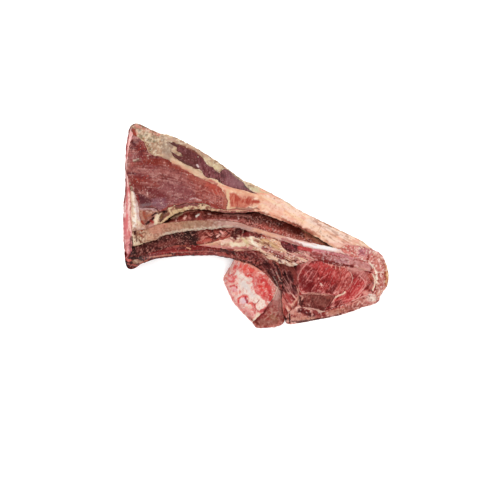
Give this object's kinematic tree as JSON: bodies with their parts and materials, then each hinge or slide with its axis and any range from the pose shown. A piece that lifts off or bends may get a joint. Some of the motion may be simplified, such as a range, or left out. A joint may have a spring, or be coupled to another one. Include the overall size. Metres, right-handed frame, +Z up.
{
  "type": "raw tomahawk steak",
  "caption": "Raw untrimmed beef rib steak on a long curved rib, with fat cover, eye muscle and sawn chine bone, lying on its cut face.",
  "frame": {"origin": "centre of the outline's box, on the far cut face that the steak rests on", "axes": "+X from the belly end of the rib to the rounded rim of the loin, +Z up, out of the shown cut face"},
  "size_m": [0.44, 0.3392, 0.0566],
  "materials": {
    "peach_fat": "firm fresh beef fat, satin",
    "cream_fat": "torn yellow-cream fat, satin",
    "pink_trim": "dried pink surface fat and lean",
    "skin_muscle": "thin dried muscle sheet, satin",
    "red_lean": "moist raw lean",
    "dark_lean": "moist dark raw lean",
    "brown_lean": "moist brown-red lean",
    "pink_lean": "moist mauve-pink lean",
    "pale_band": "pale sinew and cartilage, satin",
    "rib_inside": "rib under its moist lining",
    "sawn_bone": "sawn spongy bone with marrow"
  },
  "bodies": {
    "root": {"belly_end": "pink_trim", "fat_cover": "peach_fat", "skin_muscle": "skin_muscle", "flank_muscle": "red_lean", "corner_fat": "cream_fat", "fringe_fat": "cream_fat", "crease_meat": "dark_lean", "pale_band": "pale_band", "rib_meat": "dark_lean", "fat_pad": "cream_fat", "cap_meat": "pink_lean", "rim_meat": "pink_lean", "rib_bone": "rib_inside", "deep_meat": "dark_lean", "eye_muscle": "red_lean", "eye_crescent": "red_lean", "lower_muscle": "brown_lean", "back_strip": "peach_fat", "spine_foot": "brown_lean", "chine_bone": "sawn_bone"}
  },
  "joints": []
}
